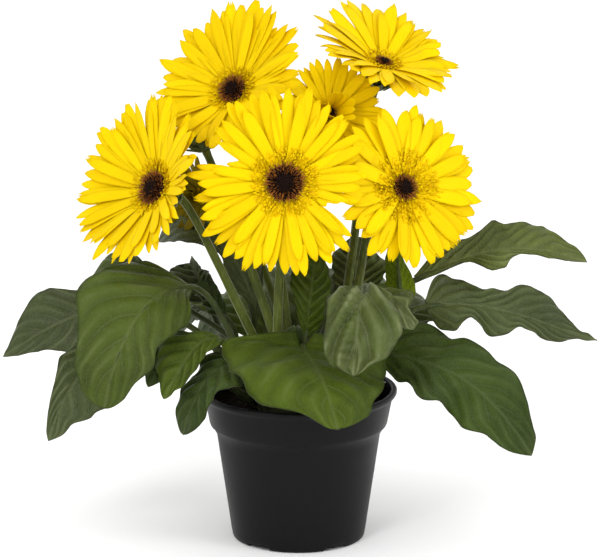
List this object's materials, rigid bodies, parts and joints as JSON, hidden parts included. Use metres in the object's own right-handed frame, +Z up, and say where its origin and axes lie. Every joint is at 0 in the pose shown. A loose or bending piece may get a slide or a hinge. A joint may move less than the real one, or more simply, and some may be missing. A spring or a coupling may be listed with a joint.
{
  "type": "potted gerbera daisy",
  "caption": "Flowering gerbera in a round plastic nursery pot: wide yellow daisy heads with dark eyes on bare stalks above a rosette of broad drooping leaves.",
  "frame": {"origin": "centre of the pot's flat underside, on the pot's own axis", "axes": "+Z up along the pot's axis, +X to the right and -Y to the front as the plant is seen"},
  "size_m": [0.364, 0.2312, 0.3205],
  "materials": {
    "pot_plastic": "satin",
    "potting_mix": "matte",
    "crown_green": "matte",
    "leaf_green": "satin",
    "stalk_green": "satin",
    "calyx_green": "matte",
    "petal_yellow": "matte",
    "eye_brown": "matte"
  },
  "bodies": {
    "root": {"pot": "pot_plastic", "soil": "potting_mix", "crown": "crown_green", "leaf_back_left": "leaf_green", "leaf_back_low": "leaf_green", "leaf_back_mid": "leaf_green", "leaf_back_right": "leaf_green", "leaf_big_left": "leaf_green", "leaf_crinkled": "leaf_green", "leaf_crinkled_side": "leaf_green", "leaf_far_left": "leaf_green", "leaf_front": "leaf_green", "leaf_left_back": "leaf_green", "leaf_lobed": "leaf_green", "leaf_low_left": "leaf_green", "leaf_low_right": "leaf_green", "leaf_mid_back": "leaf_green", "leaf_mid_left": "leaf_green", "leaf_mid_right": "leaf_green", "leaf_pot_left": "leaf_green", "leaf_right_back": "leaf_green", "leaf_small_left": "leaf_green", "leaf_under_left": "leaf_green", "leaf_upper_left": "leaf_green", "leaf_upper_right": "leaf_green", "leaf_upright": "leaf_green", "leaf_young_right": "leaf_green", "scape_front": "stalk_green", "calyx_front": "calyx_green", "petals_front": "petal_yellow", "eye_front": "eye_brown", "scape_upper_left": "stalk_green", "calyx_upper_left": "calyx_green", "petals_upper_left": "petal_yellow", "eye_upper_left": "eye_brown", "scape_top_right": "stalk_green", "calyx_top_right": "calyx_green", "petals_top_right": "petal_yellow", "eye_top_right": "eye_brown", "scape_right": "stalk_green", "calyx_right": "calyx_green", "petals_right": "petal_yellow", "eye_right": "eye_brown", "scape_left": "stalk_green", "calyx_left": "calyx_green", "petals_left": "petal_yellow", "eye_left": "eye_brown", "scape_middle": "stalk_green", "calyx_middle": "calyx_green", "petals_middle": "petal_yellow", "eye_middle": "eye_brown", "scape_back": "stalk_green", "calyx_back": "calyx_green", "petals_back": "petal_yellow", "eye_back": "eye_brown", "scape_bud": "stalk_green", "bud": "calyx_green"}
  },
  "joints": []
}
